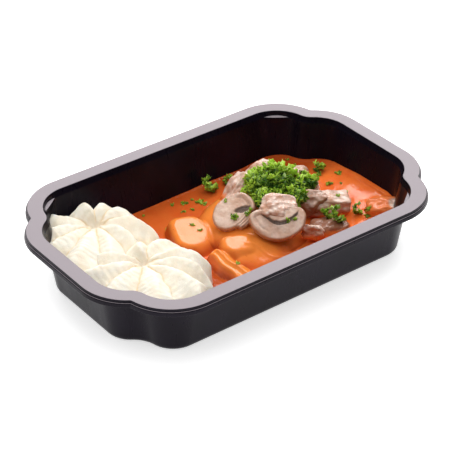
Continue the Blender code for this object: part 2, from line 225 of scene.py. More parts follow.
def start(name, **sockets):
    """A material with its shader's constants set, its tree, its shader and the place in millimetres."""
    made = bpy.data.materials.new(name)
    made.use_nodes = True
    tree = made.node_tree
    shader = tree.nodes["Principled BSDF"]
    for key, value in sockets.items():
        shader.inputs[key.replace("_", " ")].default_value = value
    place = node(tree, "ShaderNodeTexCoord").outputs["Object"]
    scaled = node(tree, "ShaderNodeVectorMath", {1: (1000, 1000, 1000)}, {0: place}, operation="MULTIPLY")
    return made, tree, shader, scaled.outputs[0]


def noise_at(tree, place, size, detail=4.0, rough=0.5, stretch=None):
    """Noise whose features are about this many millimetres across."""
    if stretch:
        place = node(tree, "ShaderNodeMapping", {"Scale": stretch}, {"Vector": place}).outputs[0]
    values = {"Scale": 1 / size, "Detail": detail, "Roughness": rough}
    return node(tree, "ShaderNodeTexNoise", values, {"Vector": place}).outputs["Fac"]


def blend(tree, share, a, b):
    """Mixes two colours, each a hex text or a socket, by a number or a socket."""
    mix = node(tree, "ShaderNodeMix", data_type="RGBA")
    for source, index in ((share, 0), (a, 6), (b, 7)):
        if isinstance(source, str):
            mix.inputs[index].default_value = linear(source)
        elif isinstance(source, (int, float)):
            mix.inputs[index].default_value = source
        else:
            tree.links.new(source, mix.inputs[index])
    return mix.outputs[2]


def between(tree, value, low, high, to_low=0.0, to_high=1.0):
    """Maps a value smoothly from one range to another."""
    made = node(
        tree,
        "ShaderNodeMapRange",
        {1: low, 2: high, 3: to_low, 4: to_high},
        {0: value},
        interpolation_type="SMOOTHSTEP",
    )
    return made.outputs[0]


def bump(tree, shader, heights):
    """Adds bumps one over another, each a height socket and its depth in millimetres."""
    normal = None
    for height, depth in heights:
        links = {"Height": height}
        if normal:
            links["Normal"] = normal
        made = node(tree, "ShaderNodeBump", {"Strength": 1.0, "Distance": depth * MM}, links)
        normal = made.outputs[0]
    tree.links.new(normal, shader.inputs["Normal"])


def layer(tree, name):
    """A value that the shape stores at each point."""
    return node(tree, "ShaderNodeAttribute", attribute_name=name).outputs["Fac"]


def black_plastic():
    # Thermoformed black sheet: very dark colour and a soft gloss, with a satin flange to take a seal, its
    # top painted a lighter grey as a sheen of reflected light
    made, tree, shader, place = start(
        "Black thermoformed plastic",
        Roughness=0.3,
        IOR=1.48,
        Specular_IOR_Level=0.13,
        # Faintly violet, as the flange is in the light
        Specular_Tint=(1.0, 0.93, 0.98, 1.0),
    )
    cloud = noise_at(tree, place, 22, 3)
    streak = noise_at(tree, place, 5, 3, stretch=(1, 1, 0.12))
    flange_top_painted_sheen = layer(tree, "flange_top_painted_sheen")
    colour = blend(tree, between(tree, cloud, 0.3, 0.7), "100C15", "15111C")
    # Painted sheen: the flange's top is painted a light violet grey in place of the light it reflects
    colour = blend(tree, flange_top_painted_sheen, colour, "9E959A")
    tree.links.new(colour, shader.inputs["Base Color"])
    rough = between(tree, streak, 0.3, 0.75, 0.26, 0.34)
    rough = node(tree, "ShaderNodeMix", {3: 0.46}, {0: flange_top_painted_sheen, 2: rough}).outputs[0]
    tree.links.new(rough, shader.inputs["Roughness"])
    bump(tree, shader, ((noise_at(tree, place, 9, 2), 0.03),))
    return made


def mash_surface():
    # Piped mashed potato: pale cream, moist but hardly shiny, with a fine grain, and painted shade, warmer
    # and darker, in the folds between petals
    made, tree, shader, place = start(
        "Piped mashed potato",
        Roughness=0.5,
        Subsurface_Weight=0.35,
        Subsurface_Scale=0.004,
        Specular_IOR_Level=0.35,
        Subsurface_Radius=(1.0, 0.85, 0.65),
    )
    pale = blend(tree, between(tree, noise_at(tree, place, 9, 4), 0.35, 0.7), "F6EAD6", "FCF4E5")
    # Painted shade: the folds between petals are painted a warmer, darker cream
    painted_fold_shade = blend(tree, between(tree, layer(tree, "fold"), 0, 1, 0, 0.85), pale, "ECD2A4")
    fleck = between(tree, noise_at(tree, place, 1.3, 3), 0.62, 0.74, 0, 0.35)
    colour = blend(tree, fleck, painted_fold_shade, "F2E0C0")
    tree.links.new(colour, shader.inputs["Base Color"])
    coarse = noise_at(tree, place, 2.2, 5, 0.6)
    fine = noise_at(tree, place, 0.55, 4, 0.65)
    bump(tree, shader, ((fine, 0.10), (coarse, 0.22)))
    return made


def sauce_surface():
    # Tomato and cream sauce: opaque orange with a wet skin, painted paler and yellower on crests that face
    # up, and painted darker and redder as shade in hollows, on sides turned from the light and along the
    # far wall
    made, tree, shader, place = start(
        "Creamy tomato sauce",
        Roughness=0.16,
        IOR=1.42,
        Subsurface_Weight=0.12,
        Subsurface_Scale=0.002,
        Subsurface_Radius=(1.0, 0.5, 0.25),
    )
    cloud = between(tree, noise_at(tree, place, 14, 5, 0.55), 0.32, 0.7)
    base = blend(tree, cloud, "EE6A2C", "F47B35")
    # Painted light: crests that face up are painted a paler, yellower orange
    crest = blend(tree, layer(tree, "crest"), base, "F7923F")
    # Painted shade: hollows, sides turned from the light and the sauce by the far wall are painted dark
    # red
    painted_shade = blend(tree, layer(tree, "painted_shade"), crest, "9C3A12")
    fleck = between(tree, noise_at(tree, place, 1.1, 2), 0.66, 0.72, 0, 0.5)
    colour = blend(tree, fleck, painted_shade, "D2561F")
    speck = between(tree, noise_at(tree, place, 0.9, 1, 0.4), 0.8, 0.83, 0, 0.7)
    colour = blend(tree, speck, colour, "8A2E12")
    tree.links.new(colour, shader.inputs["Base Color"])
    rough = between(tree, noise_at(tree, place, 6, 3), 0.35, 0.7, 0.12, 0.22)
    tree.links.new(rough, shader.inputs["Roughness"])
    soft = noise_at(tree, place, 3.2, 3, 0.5)
    fine = noise_at(tree, place, 0.8, 3, 0.5)
    bump(tree, shader, ((fine, 0.02), (soft, 0.09)))
    return made


def mushroom_surface():
    # Cooked mushroom slice: satiny pale flesh, dark wet gills, a browned skin round the cap
    made, tree, shader, place = start(
        "Cooked sliced mushroom",
        Roughness=0.38,
        Subsurface_Weight=0.2,
        Subsurface_Scale=0.002,
        Specular_IOR_Level=0.5,
        Coat_Weight=0.4,
        Coat_Roughness=0.22,
        Subsurface_Radius=(1.0, 0.6, 0.4),
    )
    flesh = blend(tree, between(tree, noise_at(tree, place, 6, 5), 0.3, 0.7), "D4AC94", "ECD0BE")
    flesh = blend(tree, between(tree, noise_at(tree, place, 1.4, 3), 0.6, 0.75, 0, 0.35), flesh, "B48468")
    skin = blend(tree, layer(tree, "skin"), flesh, "A06C4A")
    gill = blend(tree, layer(tree, "gill"), skin, "46362F")
    tree.links.new(gill, shader.inputs["Base Color"])
    bump(tree, shader, ((noise_at(tree, place, 0.4, 3), 0.04), (noise_at(tree, place, 2.5, 4), 0.2)))
    return made


def meat_surface():
    # Stewed pale meat: moist pinkish fibres, painted shade making it browner at the sides and in creases,
    # some pieces browner of their own, orange sauce caught low on it
    made, tree, shader, place = start(
        "Stewed meat",
        Roughness=0.42,
        Subsurface_Weight=0.15,
        Subsurface_Scale=0.002,
        Specular_IOR_Level=0.5,
        Coat_Weight=0.5,
        Coat_Roughness=0.2,
        Subsurface_Radius=(1.0, 0.5, 0.35),
    )
    fibre = layer(tree, "fibre")
    pale = blend(tree, between(tree, noise_at(tree, place, 4, 5), 0.3, 0.7), "D29E82", "F8E0D2")
    pale = blend(tree, between(tree, fibre, 0.2, 0.9, 0, 0.6), pale, "BE8A6E")
    # Painted shade: steep sides and creases are painted brown, over each piece's own browning
    side = blend(tree, layer(tree, "brown_and_painted_shade"), pale, "9A644A")
    wet = blend(tree, layer(tree, "wet"), side, "E87836")
    tree.links.new(wet, shader.inputs["Base Color"])
    bump(tree, shader, ((noise_at(tree, place, 0.45, 3), 0.03), (noise_at(tree, place, 1.8, 4), 0.14)))
    return made


def parsley_surface():
    # Chopped curly parsley: thin fresh leaf, with painted light and shade: brighter on the heap's outside
    # and on raised parts of each bit, dark deep in the heap
    made, tree, shader, place = start(
        "Chopped parsley leaf",
        Roughness=0.42,
        Specular_IOR_Level=0.45,
        Subsurface_Weight=0.25,
        Subsurface_Scale=0.001,
        Subsurface_Radius=(0.5, 1.0, 0.2),
    )
    tone = layer(tree, "tone")
    # Painted light and shade with a random share: the tone runs from the dark of the heap's depths to the
    # bright green of its outside
    leaf = blend(tree, between(tree, tone, 0.0, 1.0), "1E4006", "B0D23E")
    leaf = blend(tree, between(tree, noise_at(tree, place, 1.0, 3), 0.4, 0.75, 0, 0.45), leaf, "6C9C1E")
    tree.links.new(leaf, shader.inputs["Base Color"])
    bump(tree, shader, ((noise_at(tree, place, 0.35, 3), 0.08),))
    return made


# Tray


def outline(inset):
    """Points round the tray this far in from the rim's edge, with where each is on its lobe."""
    a = (RIM_HALF_LENGTH - LONG_LOBE_FROM_END, RIM_HALF_WIDTH - LONG_LOBE_RADIUS)
    b = (RIM_HALF_LENGTH - END_LOBE_RADIUS, RIM_HALF_WIDTH - END_LOBE_FROM_SIDE)
    near = LONG_LOBE_RADIUS + NOTCH_RADIUS
    far = END_LOBE_RADIUS + NOTCH_RADIUS
    apart = hypot(b[0] - a[0], b[1] - a[1])
    along = (near * near - far * far + apart * apart) / (2 * apart)
    out = sqrt(near * near - along * along)
    step = ((b[0] - a[0]) / apart, (b[1] - a[1]) / apart)
    n = (a[0] + step[0] * along - step[1] * out, a[1] + step[1] * along + step[0] * out)
    if n[0] + n[1] < a[0] + a[1]:
        n = (a[0] + step[0] * along + step[1] * out, a[1] + step[1] * along - step[0] * out)
    on_a = atan2(n[1] - a[1], n[0] - a[0])
    on_b = atan2(n[1] - b[1], n[0] - b[0])
    arcs = (
        (b, END_LOBE_RADIUS - inset, 0.0, on_b, False),
        (n, NOTCH_RADIUS + inset, on_b + pi, on_a + pi, False),
        (a, LONG_LOBE_RADIUS - inset, on_a, pi / 2, True),
    )
    quarter = []
    for (centre, radius, start_at, end, lobe), steps in zip(arcs, ARC_STEPS):
        for i in range(1 if quarter else 0, steps + 1):
            turn = start_at + (end - start_at) * i / steps
            lug = 0.0
            if lobe:
                lug = max(0.0, 1 - ((turn - radians(LUG_ANGLE)) / radians(LUG_HALF_ANGLE)) ** 2)
            quarter.append((centre[0] + radius * cos(turn), centre[1] + radius * sin(turn), lug))
    half = quarter + [(-x, y, lug) for x, y, lug in reversed(quarter)]
    return half + [(-x, -y, lug) for x, y, lug in half]


def outer_inset(z):
    """How far in from the rim's edge the outside of the wall is at this height."""
    if z >= OUTER_FOOT:
        return WALL_INSET - (z - OUTER_FOOT) * LEAN_OUT / LEAN_UP
    return WALL_INSET + OUTER_FOOT - sqrt(OUTER_FOOT**2 - (OUTER_FOOT - z) ** 2)


def inner_inset(z):
    """The same for the inside of the wall."""
    if z >= INNER_FOOT_TOP:
        return outer_inset(z) + WALL
    drop = INNER_FOOT_TOP - max(z, FLOOR)
    return outer_inset(INNER_FOOT_TOP) + WALL + INNER_FOOT - sqrt(max(0.0, INNER_FOOT**2 - drop**2))


def ring_points(inset, z, lug=0.0):
    """A ring of points. The lug moves those inside each corner further in."""
    plain = outline(inset)
    if not lug:
        return [Vector((x, y, z)) for x, y, _ in plain]
    pairs = zip(plain, outline(inset + lug))
    return [Vector((x + (u - x) * s, y + (v - y) * s, z)) for (x, y, s), (u, v, _) in pairs]


def sweep(bm, rings):
    """Extrudes a closed loop from ring to ring and fills both ends."""
    verts = [bm.verts.new(p) for p in rings[0]]
    edges = [bm.edges.new(pair) for pair in zip(verts, verts[1:] + verts[:1])]
    bmesh.ops.edgeloop_fill(bm, edges=edges)
    for points in rings[1:]:
        order = {v: i for i, v in enumerate(verts)}
        out = bmesh.ops.extrude_edge_only(bm, edges=edges)["geom"]
        fresh = [None] * len(verts)
        for v in out:
            if isinstance(v, bmesh.types.BMVert):
                for edge in v.link_edges:
                    if edge.other_vert(v) in order:
                        fresh[order[edge.other_vert(v)]] = v
        edges = [e for e in out if isinstance(e, bmesh.types.BMEdge)]
        edges = [e for e in edges if e.verts[0] not in order and e.verts[1] not in order]
        for v, point in zip(fresh, points):
            v.co = point
        verts = fresh
    bmesh.ops.edgeloop_fill(bm, edges=edges)


def softened(profile, radius):
    """The profile with each corner turned into a short curve."""
    points = [Vector(p) for p in profile]
    out = [points[0]]
    for a, p, b in zip(points, points[1:], points[2:]):
        before, after = a - p, b - p
        reach_a = min(radius, before.length * 0.45)
        reach_b = min(radius, after.length * 0.45)
        one = p + before.normalized() * reach_a
        two = p + after.normalized() * reach_b
        for t in (0.0, 0.25, 0.5, 0.75, 1.0):
            out.append(one * (1 - t) ** 2 + p * (2 * t * (1 - t)) + two * t * t)
    out.append(points[-1])
    return out


def build_tray():
    """From the middle of the base, out and up the outside, over the rim and down inside."""
    top = TRAY_HEIGHT
    profile = [(30.0, 0.0, 0.0), (20.0, 0.0, 0.0)]
    for z in (0.0, 0.12, 0.5, 1.1, 1.9, 2.9, 4.1, 12.0, 22.0, WALL_TOP):
        profile.append((outer_inset(z), z, 0.0))
    wall = [(outer_inset(WALL_TOP), WALL_TOP, 0.0)]
    wall += [(9.85, top - 4.6, LUG_DEPTH), (9.6, top - 3.75, LUG_DEPTH)]
    wall += [(9.45, top - 3.3, -0.95), (8.3, top - 1.1, 0.0), (0.8, top - 1.05, 0.0)]
    wall += [(0.6, top - 2.15, 0.0), (-0.15, top - 2.3, 0.0), (-0.5, top - 4.1, 0.0)]
    wall += [(-1.25, top - 4.1, 0.0), (-0.95, top - 1.75, 0.0), (-0.2, top - 1.5, 0.0)]
    wall += [(-0.02, top, 0.0), (RIM_WIDTH + 0.5, top, 0.0)]
    wall += [(RIM_WIDTH + 0.95, top - 1.0, 0.0), (10.2, top - 3.1, -0.95)]
    wall += [(10.4, top - 3.3, LUG_DEPTH), (10.55, top - 4.0, LUG_DEPTH)]
    wall += [(inner_inset(WALL_TOP), WALL_TOP, 0.0)]
    profile += softened(wall, 0.42)[1:]
    for z in (22.0, 12.0, 4.2, 3.2, 2.4, 1.7, 1.2, 0.9, 0.8):
        profile.append((inner_inset(z), z, 0.0))
    profile += [(24.0, FLOOR, 0.0), (34.0, FLOOR, 0.0)]
    bm = bmesh.new()
    sweep(bm, [ring_points(min(inset, MOST_INSET), z, lug) for inset, z, lug in profile])
    made = new_object(bm, "tray_shell")

    # The flange's top: rougher, and painted lighter as a sheen of reflected light
    def satin_top_and_painted_sheen(point, normal):
        return point, ease((normal.z - 0.8) / 0.15) * ease((point.z - 32) / 2)

    reshape(made, satin_top_and_painted_sheen, ("flange_top_painted_sheen",))
    paint(made, black_plastic())
    made.modifiers.new("even", "WEIGHTED_NORMAL").keep_sharp = False
    return made


def cavity():
    """The room inside the tray, which the food is cut to."""
    bm = bmesh.new()
    levels = (FLOOR + TOUCH, 0.95, 1.2, 1.7, 2.4, 3.2, 4.2, 12.0, 22.0, CAVITY_TOP)
    sweep(bm, [ring_points(inner_inset(z) + TOUCH, z) for z in levels])
    return new_object(bm, "cavity")


def close_below(bm, rim, z):
    """Draws the edges of the rim straight down to this height and fills the loop that they make."""
    out = bmesh.ops.extrude_edge_only(bm, edges=rim)["geom"]
    fresh = {v for v in out if isinstance(v, bmesh.types.BMVert)}
    for v in fresh:
        v.co.z = z
    rim = [e for e in out if isinstance(e, bmesh.types.BMEdge)]
    rim = [e for e in rim if e.verts[0] in fresh and e.verts[1] in fresh]
    bmesh.ops.edgeloop_fill(bm, edges=rim)


# Mash


# Height at which the sides of the food start
FOOT = 3.0
# Cells from the middle of a rosette out, and round it
MASH_ROWS = 95
MASH_STEPS = 360
# Heights at the middle: where the petals start, and the plain mash under them with its reach
PETAL_START = 23.4
CORE_TOP = 22.0
CORE_REACH = 27
# Where along a petal it is broadest
BROADEST = 0.62
# The way that is right in the photo. The ridges of the petals at either side lean along it
PICTURE_RIGHT = (0.795, -0.606)


def petal_height(x, y, petal, seed):
    """One piped petal: narrow at the centre, arched along and across, with a rounded tip."""
    angle, length, ridge, tip = petal
    c, d = cos(radians(angle)), sin(radians(angle))
    along = (x * c + y * d) / length
    if not 0 < along < 1:
        return None
    across = y * c - x * d - 0.07 * length * sin(pi * along)
    widest = 0.13 * length + 5.6
    if along < BROADEST:
        half = widest * sqrt(1 - (1 - along / BROADEST) ** 2)
    else:
        half = widest * sqrt(1 - ((along - BROADEST) / 0.38) ** 2)
    ragged = 0.5 + ease((along - 0.45) / 0.4)
    half *= 1 + ragged * (0.06 * sin(along * 17 + seed) + 0.06 * sin(along * 33 + 2 * seed))
    lean = 0.38 * half * max(-1.0, min(1.0, 2 * (c * PICTURE_RIGHT[0] + d * PICTURE_RIGHT[1])))
    away = (across - lean) / (half - lean) if across > lean else (lean - across) / (half + lean)
    if away >= 1:
        return None
    rise = sin(pi * min(along / 0.5, 1) / 2)
    crest = PETAL_START + (ridge + 1.6 - PETAL_START) * rise
    crest -= (ridge + 1.6 - tip) * (max(0.0, along - 0.5) / 0.5) ** 2
    top = crest - 9.0 * (sqrt(away * away + 0.006) - 0.07) ** 1.3 * min(1, along / 0.3)
    edge = max(0.0, (away - 0.74) / 0.26)
    return FOOT + (top - FOOT) * sqrt(1 - edge * edge)


def mash_height(rosette, x, y):
    """Top of the mash here, and how near a fold between petals it is."""
    out = hypot(x, y)
    core = CORE_TOP - 0.010 * out * out
    heights = [core if out < CORE_REACH else FOOT]
    for k, petal in enumerate(PETALS[rosette]):
        height = petal_height(x, y, petal, k + 3 * rosette)
        if height is not None:
            heights.append(height)
    heights.sort()
    if len(heights) < 2:
        return heights[-1], 0.0
    return heights[-1], exp(-((heights[-1] - heights[-2]) / 0.6)) * min(1, out / 6)


def build_mash(rosette, name):
    """A spun disc raised into petals."""
    cx, cy = MASH_CENTRES[rosette]
    reach = max(length for _, length, _, _ in PETALS[rosette]) + 1.5
    bm = bmesh.new()
    spacing = reach / (MASH_ROWS + 0.5)
    line = [bm.verts.new((spacing * (k + 0.5), 0, 0)) for k in range(MASH_ROWS + 1)]
    edges = [bm.edges.new(pair) for pair in zip(line, line[1:])]
    turn = {"cent": (0, 0, 0), "axis": (0, 0, 1), "angle": 2 * pi, "steps": MASH_STEPS}
    bmesh.ops.spin(bm, geom=line + edges, use_merge=True, **turn)
    bmesh.ops.remove_doubles(bm, verts=bm.verts, dist=0.00001)
    inner = [e for e in bm.edges if e.is_boundary and e.verts[0].co.length < reach / 10]
    rim = [e for e in bm.edges if e.is_boundary and e.verts[0].co.length > reach * 0.9]
    bmesh.ops.edgeloop_fill(bm, edges=inner)
    fold = bm.verts.layers.float.new("fold")
    for v in bm.verts:
        x, y = v.co.x, v.co.y
        out = hypot(x, y)
        u = x + 1.1 * grain((x, y, 0), 9, 3 + rosette) + 0.24 * grain((x, y, 0), 2.6, 8)
        w = y + 1.1 * grain((x, y, 0), 9, 6 + rosette) + 0.24 * grain((x, y, 0), 2.6, 5)
        height, near = mash_height(rosette, u, w)
        spot = Vector((x, y, height))
        crumb = 0.14 * grain(spot, 3.0, 4) + 0.08 * grain(spot, 1.3, 9) + 0.4 * grain(spot, 7, 1)
        middle = bell(out, 0, 5.5)
        lift = crumb * (1 + 8 * middle) - 0.6 * middle
        lift += 0.10 * sin(out * 1.6 + 4 * grain(spot, 9, 2)) * ease(out / 12)
        v.co = (cx + x, cy + y, height + lift * ease((height - FOOT) / 4) - 0.3 * near)
        # The fold layer carries the painted shade of the folds between petals
        v[fold] = near
    close_below(bm, rim, 0.5)
    made = new_object(bm, name)
    boolean(made, cavity(), "INTERSECT")
    paint(made, MATERIALS["mash"])
    return made


# Stew


# How far the wall leans out, per millimetre of height
WALL_LEAN = 0.154
# The stew's grid: middle and half length along the tray, half width, and cells each way
STEW_MIDDLE, STEW_HALF_LENGTH, STEW_HALF_WIDTH = 27, 79, 65
STEW_CELLS = (325, 267)


def sauce_height(x, y):
    """Level of the sauce, which rises towards the end away from the mash, most along the near side."""
    level = SAUCE_AT_MASH + 1.5 * ease((x + 35) / 80)
    end = ease((x - 50) / 50) * (1 - 0.45 * ease((y + 5) / 50))
    level += (SAUCE_AT_END - SAUCE_AT_MASH - 1.5) * end
    return level + 0.35 * noise.noise(Vector((x * 0.05, y * 0.05, 8.0)))


def lump(bm, centre, size, turn, square, rough, seed, detail):
    """A chunk between a ball and a box, unevenly cut. Sizes are full lengths."""
    made = bmesh.ops.create_icosphere(bm, subdivisions=detail, radius=1.0)
    half = Vector(size) / 2
    place = Matrix.Translation(Vector(centre)) @ turn
    for v in made["verts"]:
        ray = v.co.normalized()
        box = 1 / max(abs(ray.x), abs(ray.y), abs(ray.z))
        ball = ray * (1 + (box - 1) * square)
        bulge = noise.noise(ray * 1.4 + Vector((seed, seed * 2, 0)))
        bulge += 0.5 * noise.noise(ray * 3.1 + Vector((0, seed, seed)))
        point = Vector((ball.x * half.x, ball.y * half.y, ball.z * half.z))
        v.co = place @ (point + ray * bulge * rough)
    return made["verts"]


# Chunks under the sauce: centre, half sizes, turn, squareness, share that lies flat, top, how many times
# TOP_FALL it slopes and how widely the sauce fills the corner round it
FORMS = (
    ((-15.8, 15.8), (18.0, 12.8), 69, 3.0, 0.55, 13.6, 1.0, 2.0),
    ((23.0, 5.0), (34.0, 34.0), 0, 2.0, 0.0, 18.6, 0.4, 7.0),
    ((-2.5, -12.5), (12.5, 10.5), -28, 2.8, 0.5, 15.2, 1.0, 2.6),
    ((5.5, -23.5), (21.0, 17.0), -50, 2.3, 0.3, 11.6, 2.1, 2.0),
)
# How far the tops fall towards the front, per millimetre
TOP_FALL = (0.01, 0.19)


def soft_max(a, b, reach):
    """The greater of two heights, with the corner between them filled."""
    return max(a, b) + max(0.0, reach - abs(a - b)) ** 2 / (4 * reach)


def form_height(x, y, form):
    """Height of one covered chunk here."""
    (cx, cy), (half_a, half_b), yaw, power, flat, top, steep, _ = form
    c, d = cos(radians(yaw)), sin(radians(yaw))
    u = ((x - cx) * c + (y - cy) * d) / half_a
    v = ((y - cy) * c - (x - cx) * d) / half_b
    out = (abs(u) ** power + abs(v) ** power) ** (1 / power)
    if out >= 1:
        return FOOT
    fall = max(0.0, (out - flat) / (1 - flat))
    lean = ((x - cx) * TOP_FALL[0] + (y - cy) * TOP_FALL[1]) * steep
    return FOOT + (top - FOOT + lean) * sqrt(1 - fall * fall)


# The strip: where it starts, how long it is towards the front and how high
STRIP_START = -6.5
STRIP_LENGTH = 40
STRIP_TOP = 13.4


def strip_height(x, y):
    """A long finger that widens towards the tray's wall, with two fine ridges along it."""
    run = (STRIP_START - y) / STRIP_LENGTH
    if not 0 < run < 1:
        return 0.0
    across = (x + 17.0 - 5.0 * run * run) / (5.8 + 4.2 * run)
    if abs(across) >= 1:
        return 0.0
    end = 1 - min(1, min(run, 1 - run) / 0.14)
    side = max(0.0, (abs(across) - 0.2) / 0.8)
    lip = 0.7 * bell(across, -0.62, 0.16) - 0.5 * bell(across, -0.28, 0.16)
    lip += 0.6 * bell(across, 0.06, 0.14) - 0.3 * bell(across, 0.40, 0.2)
    top = STRIP_TOP + (y + 26) * TOP_FALL[1] * 0.7
    return FOOT + (top - FOOT) * (1 - side * side) ** 0.62 * sqrt(1 - end * end) + lip * (1 - end)


# Edges of chunks that show through the sauce: the line, how high it stands and how wide
RIDGES = (
    (
        (
            (2, -16), (4.4, -17), (6.2, -19.4), (7.2, -23),
            (8.4, -27.4), (10.6, -30), (13.6, -31.6), (17.6, -34),
        ),
        0.4,
        1.5,
    ),
    (((22, -34), (28, -38), (35, -41)), 0.3, 1.6),
)


def distance_to(p, a, b):
    """How far the point is from the line between two others."""
    run = (b[0] - a[0], b[1] - a[1])
    t = ((p[0] - a[0]) * run[0] + (p[1] - a[1]) * run[1]) / (run[0] ** 2 + run[1] ** 2)
    t = min(1.0, max(0.0, t))
    return hypot(p[0] - a[0] - t * run[0], p[1] - a[1] - t * run[1])


def stew_height(x, y, wall):
    """Top of the sauce over everything in it. It climbs a little where it meets the wall."""
    level = sauce_height(x, y)
    u = x + 1.1 * grain((x, y, 0), 9, 2)
    v = y + 1.1 * grain((x, y, 0), 9, 5)
    height = level
    for form in FORMS:
        height = soft_max(height, form_height(u, v, form), form[-1])
    height = soft_max(height, strip_height(u, v), 1.4)
    near = wall.find((x, y, 0))[2] - (level - SAUCE_AT_MASH) * WALL_LEAN
    lift = 0.8 * exp(-max(0.0, near) / 0.7)
    stir = ease((x - 44) / 14) * ease((-10 - y) / 12)
    swirl = 0.6 * grain((x, y * 0.7, 0), 9, 3) + 0.2 * grain((x, y, 0), 4.2, 6)
    ripple = 0.11 * grain((x, y, 0), 6, 3) + 0.05 * grain((x, y * 0.6, 0), 2.2, 9)
    for ridge, tall, wide in RIDGES:
        away = min(distance_to((x, y), a, b) for a, b in zip(ridge, ridge[1:]))
        lift += tall * bell(away, 0, wide)
    return height + lift + stir * swirl + ripple


def nearest_of(points):
    """Finds the nearest of these points."""
    tree = KDTree(len(points))
    for i, point in enumerate(points):
        tree.insert(point, i)
    tree.balance()
    return tree


def wall_near_sauce():
    """Finds how far a point is from the tray's wall at the sauce's level."""
    ring = ring_points(inner_inset(SAUCE_AT_MASH), 0)
    points = []
    for a, b in zip(ring, ring[1:] + ring[:1]):
        steps = max(1, int((b - a).length))
        points += [a.lerp(b, i / steps) for i in range(steps)]
    return nearest_of(points)


def build_stew():
    """Sauce and the chunks that it covers, under one skin."""
    bm = bmesh.new()
    bmesh.ops.create_grid(bm, x_segments=STEW_CELLS[0], y_segments=STEW_CELLS[1], size=1)
    wall = wall_near_sauce()
    for v in bm.verts:
        x, y = STEW_MIDDLE + v.co.x * STEW_HALF_LENGTH, v.co.y * STEW_HALF_WIDTH
        v.co = (x, y, stew_height(x, y, wall))
    close_below(bm, [e for e in bm.edges if e.is_boundary], 0.2)
    made = new_object(bm, "stew")
    boolean(made, cavity(), "INTERSECT")

    def skin(point, normal):
        """Painted light and shade: yellower on up-facing crests, redder in hollows, on sides turned from
        the light and along the far wall.
        """
        level = sauce_height(point.x, point.y)
        # Painted light on the crests that face up
        crest = ease((point.z - level - 1.0) / 6) * ease(normal.z / 0.8) * 0.85
        # Painted shade in the hollow beside the mash and the strip
        painted_shade = 0.7 * ease((-point.x - 14) / 14) * ease((-point.y - 2) / 12)
        painted_shade *= ease((level + 3.5 - point.z) / 3)
        # Painted shade on sides turned away from the lights
        shaded = 0.35 * normal.x + 0.45 * normal.y
        steep = (1 - ease((normal.z + shaded - 0.18) / 0.75)) * 0.9
        steep *= 1 - ease((point.x + 6) / 8) * ease((point.y + 10) / 8)
        steep *= 1 - 0.55 * ease((-8 - point.y) / 4) * ease((point.z - level - 2) / 3)
        # Painted shade along the far wall, which shades the sauce
        far = (0.45 + 0.3 * ease((point.x - 20) / 40)) * ease((point.y - 12) / 25) * (1 - crest)
        painted_shade = max(painted_shade, steep, far)
        return point, crest, painted_shade

    reshape(made, skin, ("crest", "painted_shade"))
    paint(made, sauce_surface())
    return made


# Where the end of the chunk in the corner shows through its sauce, and how widely
BARE_TIP = (94.0, -39.0)
BARE_RADIUS = 4.2
# Size of the cells of the meat's skin
MEAT_CELL = 0.4
# Pieces further out than this share of the tray are cut to its inside
NEAR_WALL = 0.5


def torn(point, normal, centre, turn, wet_top, bias):
    """Torn, folded meat: creases and fibres along it, painted shade browner where steep and in creases,
    sauce up to a level.
    """
    local = turn.inverted() @ (point - Vector(centre))
    along = Vector((local.x * 0.55, local.y, local.z))
    fold = (1 - abs(noise.noise(along * 0.16 + Vector((centre[0], 0, 0))))) ** 3
    crease = (1 - abs(noise.noise(along * 0.42 + Vector((0, centre[1], 0))))) ** 4
    fine = noise.noise(Vector((local.x * 0.35, local.y * 1.3, local.z * 1.3)))
    # Painted shade on steep sides and in creases, added to the piece's own browning
    brown_and_painted_shade = (1 - ease((normal.z + 0.1) / 0.5)) * 0.6 + bias + 0.1 * crease * (1 - bias)
    wet = ease((wet_top + 1.2 * grain(point, 3, 6) - point.z) / 2.2)
    wet *= ease((hypot(point.x - BARE_TIP[0], point.y - BARE_TIP[1]) - BARE_RADIUS) / 2.0)
    out = (0.8 * (fold - 0.55) - 0.12 * crease + 0.06 * fine) * (1 - 0.65 * wet) + 0.1
    return point + normal * out, min(1.0, 0.35 + 0.8 * fine), min(1.0, brown_and_painted_shade), wet


# Bare pieces of meat: name, node it stands for, centre, size, turn, squareness, seed, torn knobs on it,
# how high sauce clings and how brown it is
MEAT = (
    ("meat_sliver", "meat_sliver",
     (39, -28, 13.4), (15, 6, 11.5), (-40, 20, 0), 0.3, 13, 0, 13.5, 0.0),
    ("meat_end", "meat_chunk_end",
     (89, -33, 13.6), (22, 17, 11), (-30, 0, 0), 0.25, 15, 0, 40, 0.1),
    ("meat_block", "meat_block",
     (65, -12, 15), (25, 16.5, 13), (-27, 10, 0), 0.75, 17, 0, 13, 0.0),
    ("meat_fold_right", "meat_fold_right",
     (52, -9, 19), (19, 13, 17), (-20, 0, 0), 0.3, 19, 1, 13, 0.35),
    ("meat_strip_low", "meat_strip_low",
     (27, 28, 19), (24, 12, 10), (10, -35, 0), 0.5, 21, 0, 19, 0.0),
    ("meat_strip_high", "meat_strip_high",
     (43, 27, 26), (20, 12, 9), (0, -20, 0), 0.5, 23, 1, 12, 0.0),
    ("meat_back_right", "meat_back_right",
     (59, 3, 20), (18, 13, 11), (-20, 0, 0), 0.5, 25, 0, 12, 0.1),
    ("meat_fold_top", "meat_fold_top",
     (27.6, -12.0, 26.5), (23, 19, 11), (-40, 0, 20), 0.3, 27, 2, 12, 0.0),
    ("meat_near", "coated_chunk_near",
     (52, -28, 10), (26, 18, 14), (-20, 0, 0), 0.3, 29, 1, 14.8, 1.0),
)


